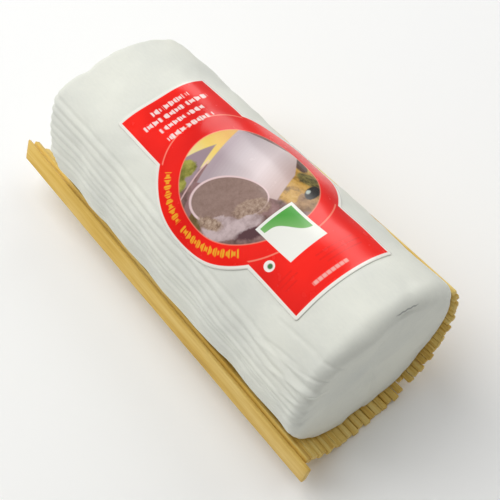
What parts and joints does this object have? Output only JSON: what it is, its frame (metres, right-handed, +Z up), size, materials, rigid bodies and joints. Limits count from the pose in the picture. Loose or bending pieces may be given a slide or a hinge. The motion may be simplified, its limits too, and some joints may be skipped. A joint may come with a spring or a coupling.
{
  "type": "goat cheese log",
  "caption": "Soft goat cheese log wrapped in pleated white paper, with a glued label on top, lying in the stick mat that cradles it.",
  "frame": {"origin": "on the ground, straight below the middle of the log's axis", "axes": "+X along the log towards its near end, where the label's square foot points; +Z up"},
  "size_m": [0.222, 0.0947, 0.086],
  "materials": {
    "wrapping_paper": "matte white wrapping paper with soft pleats",
    "label_print": "glossy printed label, red with plain fields of colour",
    "mat_sticks": "golden straw-coloured sticks, smooth and slightly satin",
    "edge_slat": "golden straw-coloured slat with long grain"
  },
  "bodies": {
    "root": {"wrapped_log": "wrapping_paper", "label": "label_print", "edge_slat": "edge_slat", "stick_01": "mat_sticks", "stick_02": "mat_sticks", "stick_03": "mat_sticks", "stick_04": "mat_sticks", "stick_05": "mat_sticks", "stick_06": "mat_sticks", "stick_07": "mat_sticks", "stick_08": "mat_sticks", "stick_09": "mat_sticks", "stick_10": "mat_sticks", "stick_11": "mat_sticks", "stick_12": "mat_sticks", "stick_13": "mat_sticks", "stick_14": "mat_sticks", "stick_15": "mat_sticks", "stick_16": "mat_sticks", "stick_17": "mat_sticks", "stick_18": "mat_sticks", "stick_19": "mat_sticks", "stick_20": "mat_sticks", "stick_21": "mat_sticks", "stick_22": "mat_sticks", "stick_23": "mat_sticks", "stick_24": "mat_sticks", "stick_25": "mat_sticks", "stick_26": "mat_sticks", "stick_27": "mat_sticks", "stick_28": "mat_sticks", "stick_29": "mat_sticks", "stick_30": "mat_sticks", "stick_31": "mat_sticks", "stick_32": "mat_sticks", "stick_33": "mat_sticks", "stick_34": "mat_sticks", "stick_35": "mat_sticks", "stick_36": "mat_sticks", "stick_37": "mat_sticks", "stick_38": "mat_sticks"}
  },
  "joints": []
}
